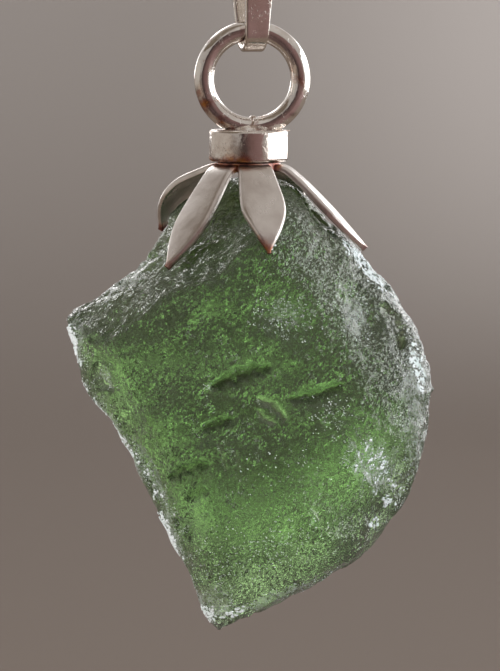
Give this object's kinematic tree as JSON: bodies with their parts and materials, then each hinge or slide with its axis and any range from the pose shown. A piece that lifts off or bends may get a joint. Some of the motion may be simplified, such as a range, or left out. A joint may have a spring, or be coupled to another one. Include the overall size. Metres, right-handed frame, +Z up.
{
  "type": "rough moldavite pendant",
  "caption": "Raw green natural glass fragment with a pitted surface, hung by a silver petal cap, collar, soldered ring and a tapered strip bail.",
  "frame": {"origin": "where a chain sits, at the inside top of the bail", "axes": "+Z up, +X to the right of someone looking at the front, -Y out of the front"},
  "size_m": [0.0174, 0.01, 0.0342],
  "materials": {
    "moldavite_glass": "see-through green glass, etched and finely pitted",
    "stamped_silver": "satin stamped silver sheet, a little tarnished",
    "collar_silver": "polished silver with tarnish at the joins",
    "wire_silver": "polished silver wire with solder grains at its foot",
    "bail_silver": "polished silver strip with fine scratches"
  },
  "bodies": {
    "bail": {"bail": "bail_silver"},
    "pendant": {"ring": "wire_silver", "collar": "collar_silver", "petal_cap": "stamped_silver", "stone": "moldavite_glass"}
  },
  "joints": [
    {"name": "pendant_swing", "type": "hinge", "parent": "bail", "child": "pendant", "pos_m": [0, 0, -0.00555], "axis": [1, 0, 0], "range_deg": [-130, 130]}
  ]
}
